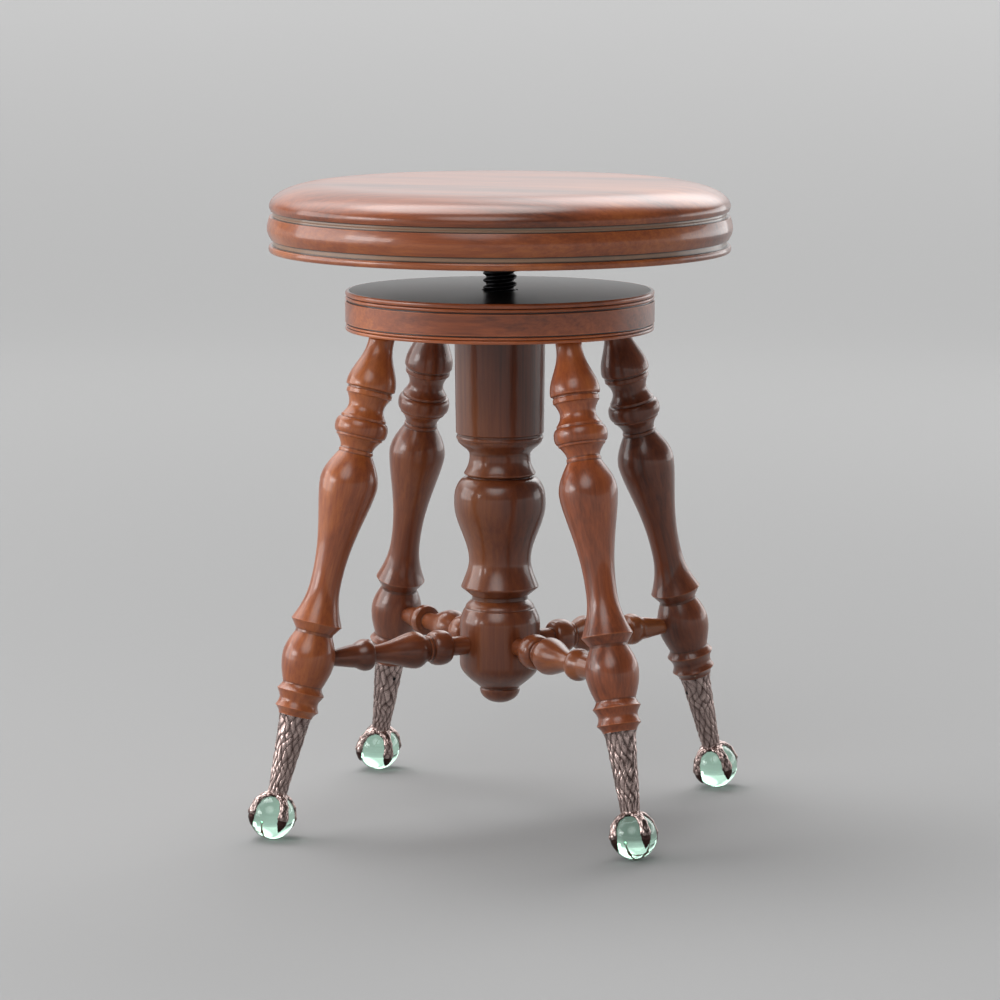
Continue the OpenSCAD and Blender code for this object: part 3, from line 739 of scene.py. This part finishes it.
def makeStretcher(number):
    inner = column["radius"] * stretcher["barrelShare"]
    outer = (footCircle - (stretcherHeight - ballMiddle.z) * math.tan(legTilt)
             - leg["radius"] * stretcher["bulbShare"] / math.cos(legTilt))
    side = [(radius, inner + along) for radius, along in turnedOutline(
        stretcher["outline"], outer - inner, stretcher["radius"])]
    start, end = inner - stretcher["columnBite"], outer + stretcher["legBite"]
    tenonIn = stretcher["radius"] * stretcher["columnTenonShare"]
    tenonOut = stretcher["radius"] * stretcher["legTenonShare"]
    outline = [(0, start), (tenonIn, start)] + side + [(tenonOut, end), (0, end)]
    shape = lathed(softened(outline, shared["softness"] * stretcher["softnessShare"]), stretcher["steps"])
    markGrain(shape, (0.66 - 0.13 * number, 0.21 * number, 0.37 * number), stainAndPaintedLight=stretcher["stainAndPaintedLight"])
    shape.transform(quarterTurn(number) @ Matrix.Translation((0, 0, stretcherHeight))
                    @ Matrix.Rotation(math.pi / 2, 4, "Y"))
    finishPiece(f"stretcher{number}", shape, lacqueredWood, "base",
                [f"stretcher_{number}"])


for number in legNumbers:
    makeStretcher(number)
print("stretchers made")


# Claws: a scaled sleeve with a collar on its glass ball, and four talons round the ball

claw = {
    "steps": 200,
    "rowLength": 0.36 * mm,
    "cupSteps": 20,
    "cupGap": 0.2 * mm,
    "collarAngle": 31,
    "collarThick": 1.6 * mm,
    "sleeve": [[0, 0, "swell"], [0.17, 0.24, "straight"], [1, 1, "straight"]],
    "scalesRound": 12,
    "scaleLength": 12.5 * mm,
    "scaleDepth": 1.15 * mm,
    "scaleFade": 1.4 * mm,  # the scales die out over this length at both ends of the sleeve
    "scaleWander": 11 * mm,  # a row of scales drifts sideways and along over this length
    "wanderSeed": 7,
    "wanderRound": 0.6,
    "wanderAlong": 0.4,
    "talonCount": 4,
    "talonWidth": 9.4 * mm,
    "talonThick": 3.2 * mm,
    "rootAngle": 14,
    "tipAngle": 125,
    "talonRows": 120,
    "talonColumns": 36,
    "talonScales": 40,  # more than a talon has, so that none repeats
    "talonScaleWidth": 4 * mm,
    "talonScaleLength": 7.6 * mm,
    "talonScaleDepth": 0.6 * mm,
    "archShare": 0.8,  # share of a talon's section that is its back; the rest lies on the ball
    "bareBurnish": 0.1,
    "nailBurnish": 0.2,
    # A station holds its share of the sweep, of the width, of the thickness, and of the lift
    "talon": [
        [0, 0.62, 0.5, 1], [0.06, 0.9, 0.72, 0], [0.11, 1.08, 0.8, 0], [0.16, 1.06, 0.84, 0],
        [0.2, 0.9, 0.88, 0], [0.26, 0.75, 0.88, 0], [0.33, 0.73, 0.9, 0], [0.4, 0.82, 1, 0],
        [0.48, 0.78, 0.84, 0], [0.56, 0.88, 0.86, 0], [0.65, 1, 1, 0], [0.7, 0.95, 0.88, 0],
        [0.715, 0.84, 0.6, 0], [0.78, 0.82, 0.64, 0], [0.86, 0.6, 0.52, 0], [0.93, 0.34, 0.38, 0],
        [1, 0.05, 0.12, 0]],
    "nailShare": 0.708,
}
noise.seed_set(claw["wanderSeed"])  # unset, the noise starts from the clock and differs each run


# Height of the lozenge scales, from 0 in a groove to 1 on a crest. Each is domed, thicker towards
# its lower end, and tilted its own way. `around` is how many go round before they repeat.
def scaleHeight(across, along, around, seed):
    first, second = across + along, across - along
    cellFirst, cellSecond = math.floor(first), math.floor(second)
    u, v = first - cellFirst, second - cellSecond
    tilt, lean, own = noise.cell_vector(Vector((
        (cellFirst + cellSecond) % (2 * around) + 0.5, cellFirst - cellSecond + 0.5, seed + 0.5)))
    dome = (16 * u * (1 - u) * v * (1 - v)) ** 0.42
    slope = 1.5 * ((tilt - 0.5) * (u - 0.5) + (lean - 0.5) * (v - 0.5)) + 0.2 * (u - v)
    return min(max(dome * (0.68 + 0.24 * own + slope), 0), 1)


def makeClaw(number):
    foot = leg["footLength"]
    cup = ballRadius + claw["cupGap"]
    rim, rimAngle = cup + claw["collarThick"], math.radians(claw["collarAngle"])
    rimRadius, rimHeight = rim * math.sin(rimAngle), rim * math.cos(rimAngle)
    collarTop = rimHeight + rimRadius - leg["ankle"]
    sleeveLength, taper = foot - ballRadius, leg["sleeveTop"] - leg["ankle"]
    coarse = [Vector((leg["sleeveTop"] - inset, foot - along)) for inset, along in turnedOutline(
        claw["sleeve"], sleeveLength, taper)]
    coarse = [point for point in coarse if point.y > collarTop]
    neck = mix(leg["ankle"], leg["sleeveTop"], (collarTop - ballRadius) / sleeveLength)
    for step in range(shared["curveSteps"] + 1):
        angle = math.pi / 2 * step / shared["curveSteps"]
        coarse.append(Vector((mix(rimRadius, neck, math.cos(angle)),
                              mix(collarTop, rimHeight, math.sin(angle)))))
    cupAngles = [rimAngle * (1 - step / claw["cupSteps"]) for step in range(claw["cupSteps"] + 1)]
    cupSide = [Vector((cup * math.sin(angle), cup * math.cos(angle))) for angle in cupAngles]
    coarse = softened(coarse + cupSide[:1], shared["softness"])[:-1]
    side = [coarse[0]]
    for before, here in zip(coarse, coarse[1:]):
        rows = max(1, round((here - before).length / claw["rowLength"]))
        side += [before.lerp(here, row / rows) for row in range(1, rows + 1)]
    socketEnd = foot - leg["socketLength"] - shared["fitGap"]
    socket = [Vector((0, socketEnd)), Vector((socketEndRadius(), socketEnd)),
              Vector((leg["sleeveTop"] - leg["sleeveWall"], foot))]
    outline = socket + side + cupSide
    shape = lathed(outline, claw["steps"])

    burnish = shape.verts.layers.float.new("burnish")
    nail = shape.verts.layers.float.new("nail")
    path = shape.verts.layers.float["path"]
    gone = lengthsAlong(outline)
    start, end = gone[len(socket)], gone[len(socket) + len(side) - 1] - claw["collarThick"] / 2
    shape.normal_update()
    for vert in shape.verts:
        fade = min(vert[path] - start, end - vert[path]) / claw["scaleFade"]
        if fade <= 0:
            vert[burnish] = claw["bareBurnish"]
            continue
        wander = noise.noise_vector(vert.co / claw["scaleWander"] + Vector((0, 0, 7.3 * number)))
        turns = math.atan2(vert.co.y, vert.co.x) / fullTurn * claw["scalesRound"]
        rows = (vert[path] - start) / claw["scaleLength"]
        height = scaleHeight(turns + claw["wanderRound"] * wander.x, rows + claw["wanderAlong"] * wander.y,
                             claw["scalesRound"], number)
        vert[burnish] = height
        vert.co -= vert.normal * claw["scaleDepth"] * (1 - height) * min(fade, 1)
    for index in range(claw["talonCount"]):
        addTalon(shape, index, number, burnish, nail)
    markGrain(shape, (0.1 * number, 0, 0))
    shape.transform(legAxis(number))
    finishPiece(f"claw{number}", shape, antiqueBronze, "base", [f"claw_{number}"])


# Value of a table of stations at a share of its length, eased between stations
def stationAt(stations, share, field):
    for here, there in zip(stations, stations[1:]):
        if share <= there[0]:
            part = (share - here[0]) / (there[0] - here[0])
            part = part * part * (3 - 2 * part)
            return mix(here[field], there[field], part)
    return stations[-1][field]


# Sweeps one talon over the ball: a scaled back, an underside that follows the ball, a bare nail
def addTalon(shape, index, number, burnish, nail):
    inner = ballRadius + 2 * claw["cupGap"]
    before = set(shape.verts)
    bmesh.ops.create_grid(shape, x_segments=claw["talonRows"], y_segments=claw["talonColumns"], size=1)
    skin = [vert for vert in shape.verts if vert not in before]
    spin = Matrix.Rotation(fullTurn / claw["talonCount"] * index, 3, "Z")
    arch = claw["archShare"]
    for vert in skin:
        share, around = (vert.co.x + 1) / 2, (vert.co.y + 1) / 2
        half = claw["talonWidth"] * stationAt(claw["talon"], share, 1) / 2 / inner
        thick = claw["talonThick"] * stationAt(claw["talon"], share, 2)
        low = inner + claw["talonThick"] * stationAt(claw["talon"], share, 3)
        reach = math.radians(mix(claw["rootAngle"], claw["tipAngle"], share))
        onNail = share > claw["nailShare"]
        height = claw["nailBurnish"]
        if around < arch:
            angle = math.pi * around / arch
            lateral, radius = half * math.cos(angle), low + thick * math.sin(angle)
            if not onNail:
                height = scaleHeight(lateral * inner / claw["talonScaleWidth"] + 0.5,
                                     reach * inner / claw["talonScaleLength"],
                                     claw["talonScales"], number + 10 * index)
                radius -= claw["talonScaleDepth"] * (1 - height) * math.sin(angle)
        else:
            lateral, radius = half * (2 * (around - arch) / (1 - arch) - 1), low
        vert[burnish] = height
        vert[nail] = 1 if onNail else 0
        across, out = radius * math.sin(lateral), radius * math.cos(lateral)
        vert.co = spin @ Vector((out * math.sin(reach), across, out * math.cos(reach)))
    bmesh.ops.remove_doubles(shape, verts=skin, dist=shared["seam"])
    skin = [vert for vert in shape.verts if vert not in before]
    rims = [edge for edge in shape.edges if edge.is_boundary]
    bmesh.ops.holes_fill(shape, edges=rims, sides=0)
    faces = {face for vert in skin for face in vert.link_faces}
    bmesh.ops.recalc_face_normals(shape, faces=list(faces))


def makeBall(number):
    shape = bmesh.new()
    bmesh.ops.create_icosphere(shape, subdivisions=6, radius=ballRadius)
    shape.transform(legAxis(number))
    finishPiece(f"ball{number}", shape, greenGlass, "base", [f"ball_{number}"])


for number in legNumbers:
    makeClaw(number)
    makeBall(number)
print("claws made")


# Lifting screw, with a right-hand vee thread

screw = {
    "pitch": 5.6 * mm,
    "crestRadius": 13 * mm,
    "rootRadius": 10.6 * mm,
    "steps": 64,
    "tailRadius": 8.06 * mm,
    "neckRadius": 10 * mm,
    "endSteps": 48,
    "washerGap": 0.2 * mm,
    "merge": 0.02 * mm,
    "sharpFrom": math.radians(50),
    # One ridge: shares of the pitch, and of the way from root to crest
    "ridge": [[0, 0], [0.12, 0.06], [0.36, 0.9], [0.44, 1], [0.56, 1], [0.64, 0.9], [0.88, 0.06]],
}


# A plain end of the screw, between two heights
def addEnd(shape, radius, low, high):
    end = bmesh.new()
    bmesh.ops.create_cone(end, cap_ends=True, segments=screw["endSteps"], radius1=radius, radius2=radius,
                          depth=high - low)
    end.transform(Matrix.Translation((0, 0, (low + high) / 2)))
    mesh = bpy.data.meshes.new("screwEnd")
    end.to_mesh(mesh)
    end.free()
    shape.from_mesh(mesh)
    bpy.data.meshes.remove(mesh)


def makeLiftScrew():
    hub, shoulder = hubLow.z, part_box("stop_washer")[1].z + screw["washerGap"]
    pitch, root, crest = screw["pitch"], screw["rootRadius"], screw["crestRadius"]
    shape = bmesh.new()
    turns = math.ceil((hub - shoulder) / pitch) + 2
    start = shoulder - pitch
    points = [(mix(root, crest, rise), start + pitch * (turn + along))
              for turn in range(turns) for along, rise in screw["ridge"]]
    bmesh.ops.spin(shape, geom=drawWire(shape, points), cent=(0, 0, 0), axis=(0, 0, 1),
                   dvec=(0, 0, pitch / screw["steps"]), angle=fullTurn, steps=screw["steps"],
                   use_merge=False, use_normal_flip=False, use_duplicate=False)
    bmesh.ops.remove_doubles(shape, verts=shape.verts, dist=screw["merge"])
    cutLevel(shape, shoulder, -1)
    cutLevel(shape, hub, 1)
    bmesh.ops.recalc_face_normals(shape, faces=shape.faces)
    addEnd(shape, screw["tailRadius"], screwLow.z, shoulder)
    addEnd(shape, screw["neckRadius"], hub, screwHigh.z)
    piece = finishPiece("liftScrew", shape, blackSteel, "seat", ["lift_screw"])
    piece.data.set_sharp_from_angle(angle=screw["sharpFrom"])


makeLiftScrew()
print("screw made")


# Pieces whose solids already have the right shape keep them
keptNodes = {
    "seat_hub": blackIron,
    "hub_screws": blackSteel, "stop_nut": blackSteel, "stop_washer": blackSteel,
    "screw_nut": blackSteel, "nut_screws": blackSteel, "foot_pins": blackSteel,
}
for nodeName, material in keptNodes.items():
    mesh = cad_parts[nodeName].data
    mesh.materials.clear()
    mesh.materials.append(material)


# Studio: a grey floor that sweeps up into a low glowing rim, lobes of light in the sky, panels of
# light, and the camera

studio = {
    "floorRadius": 3.4, "sweepRadius": 2.2, "rimHeight": 0.8, "innerRing": 0.6,
    "steps": 96, "sweepSteps": 24,
    "colour": "#929292", "sky": 0.1, "beyond": 0.6, "aim": 0.28,
    # The floor's glow starts at one radius and is full at the other, and the sweep adds its own
    "glowFrom": 0.8, "glowFull": 3.2, "floorGlow": 0.08, "rimGlow": 0.36,
    # Lobes of light in the sky: azimuth, elevation, core and reach in degrees, and strength
    "lobes": [
        (-152, 70, 14, 27, 4.6),
        (156, 33, 8, 26, 2.5),
        (180, 24, 10, 46, 0.9),
        (-125, 44, 8, 34, 2.4),
        (-14, 44, 4, 26, 3.2),
    ],
    # Panels of light: azimuth, elevation, distance, width, height and radiance
    "panels": {
        "key": (-66, 14, 2.6, 1.2, 0.5, 6.5),
        "left": (-90, 12, 2.75, 2.8, 1.3, 3),
        "right": (124, 6, 2.9, 2.8, 0.8, 2),
    },
}
view = {
    "place": (0.9162, -3.4001, 0.73435), "turn": 15.08, "dip": 7.916,
    "lens": 166.1, "sensor": 36, "farthest": 60,
}


# Way out from the stool: azimuths count from the camera's side and rise to its right
def wayOut(azimuth, elevation):
    turn, rise = math.radians(azimuth + view["turn"]), math.radians(elevation)
    return Vector((math.sin(turn) * math.cos(rise), -math.cos(turn) * math.cos(rise), math.sin(rise)))


def makeBackdrop():
    floor, sweep = studio["floorRadius"], studio["sweepRadius"]
    outline = [(0, 0), (studio["innerRing"], 0), (floor, 0)]
    last = math.acos(1 - studio["rimHeight"] / sweep)
    for step in range(1, studio["sweepSteps"] + 1):
        angle = last * step / studio["sweepSteps"]
        outline.append((floor + sweep * math.sin(angle), sweep * (1 - math.cos(angle))))
    shape = bmesh.new()
    bmesh.ops.spin(shape, geom=drawWire(shape, outline), cent=(0, 0, 0), axis=(0, 0, 1), dvec=(0, 0, 0),
                   angle=fullTurn, steps=studio["steps"], use_merge=True, use_normal_flip=False,
                   use_duplicate=False)
    bmesh.ops.remove_doubles(shape, verts=shape.verts, dist=shared["seam"])
    bmesh.ops.recalc_face_normals(shape, faces=shape.faces)
    if sum((face.normal.z for face in shape.faces)) < 0:
        bmesh.ops.reverse_faces(shape, faces=shape.faces)
    mesh = bpy.data.meshes.new("backdrop")
    shape.to_mesh(mesh)
    shape.free()
    mesh.polygons.foreach_set("use_smooth", [True] * len(mesh.polygons))
    material, tree, shader = newMaterial("litBackdrop")
    shader.inputs["Base Color"].default_value = hexColour(studio["colour"])
    shader.inputs["Roughness"].default_value = 0.9
    shader.inputs["Specular IOR Level"].default_value = 0.1
    place = addNode(tree, "ShaderNodeSeparateXYZ", {
        "Vector": addNode(tree, "ShaderNodeTexCoord").outputs["Object"]})
    away = addNode(tree, "ShaderNodeVectorMath", {0: addNode(tree, "ShaderNodeCombineXYZ", {
        "X": place.outputs["X"], "Y": place.outputs["Y"]}).outputs["Vector"]}, operation="LENGTH")
    floorGlow = addNode(tree, "ShaderNodeMapRange", {
        "Value": away.outputs["Value"], "From Min": studio["glowFrom"], "From Max": studio["glowFull"],
        "To Min": 0, "To Max": studio["floorGlow"]}, interpolation_type="SMOOTHSTEP")
    rimGlow = addNode(tree, "ShaderNodeMapRange", {
        "Value": place.outputs["Z"], "From Min": 0, "From Max": studio["rimHeight"],
        "To Min": 0, "To Max": studio["rimGlow"]})
    glow = addNode(tree, "ShaderNodeMath", {
        0: floorGlow.outputs["Result"], 1: rimGlow.outputs["Result"]}, operation="ADD")
    shader.inputs["Emission Color"].default_value = hexColour("#ffffff")
    tree.links.new(glow.outputs[0], shader.inputs["Emission Strength"])
    mesh.materials.append(material)
    backdrop = bpy.data.objects.new("backdrop", mesh)
    bpy.context.scene.collection.objects.link(backdrop)


# Lobes of light, which only shine and reflect: past the rim, the camera sees the backdrop's grey
def makeSky():
    world = bpy.data.worlds.new("studio")
    bpy.context.scene.world = world
    world.use_nodes = True
    tree = world.node_tree
    toSky = addNode(tree, "ShaderNodeTexCoord").outputs["Generated"]
    level = studio["sky"]
    for azimuth, elevation, core, reach, strength in studio["lobes"]:
        near = addNode(tree, "ShaderNodeVectorMath", {
            0: toSky, 1: wayOut(azimuth, elevation)}, operation="DOT_PRODUCT")
        lobe = addNode(tree, "ShaderNodeMapRange", {
            "Value": near.outputs["Value"], "From Min": math.cos(math.radians(reach)),
            "From Max": math.cos(math.radians(core)), "To Min": 0, "To Max": strength},
            interpolation_type="SMOOTHSTEP")
        level = addNode(tree, "ShaderNodeMath", {0: lobe.outputs["Result"], 1: level},
                        operation="ADD").outputs[0]
    seen = addNode(tree, "ShaderNodeMix", {
        "Factor": addNode(tree, "ShaderNodeLightPath").outputs["Is Camera Ray"],
        "A": level, "B": studio["beyond"]}, data_type="FLOAT")
    sky = tree.nodes["Background"]
    sky.inputs["Color"].default_value = hexColour("#ffffff")
    tree.links.new(seen.outputs["Result"], sky.inputs["Strength"])


def makePanels():
    target = Vector((0, 0, studio["aim"]))
    for name, (azimuth, elevation, distance, width, height, radiance) in studio["panels"].items():
        away = wayOut(azimuth, elevation)
        lamp = bpy.data.lights.new(name + "Panel", "AREA")
        lamp.shape = "RECTANGLE"
        lamp.size, lamp.size_y = width, height
        lamp.energy = radiance * math.pi * width * height
        panel = bpy.data.objects.new(name + "Panel", lamp)
        panel.location = target + away * distance
        panel.rotation_euler = away.to_track_quat("Z", "Y").to_euler()
        panel.visible_camera = False
        bpy.context.scene.collection.objects.link(panel)


def makeCamera():
    lens = bpy.data.cameras.new("camera")
    lens.lens, lens.sensor_width = view["lens"], view["sensor"]
    lens.clip_end = view["farthest"]
    camera = bpy.data.objects.new("camera", lens)
    camera.location = view["place"]
    turn, dip = math.radians(view["turn"]), math.radians(view["dip"])
    ahead = Vector((-math.sin(turn) * math.cos(dip), math.cos(turn) * math.cos(dip), -math.sin(dip)))
    camera.rotation_euler = ahead.to_track_quat("-Z", "Y").to_euler()
    bpy.context.scene.collection.objects.link(camera)
    bpy.context.scene.camera = camera
    bpy.context.scene.view_settings.view_transform = "Standard"


makeBackdrop()
makeSky()
makePanels()
makeCamera()
print("studio made")
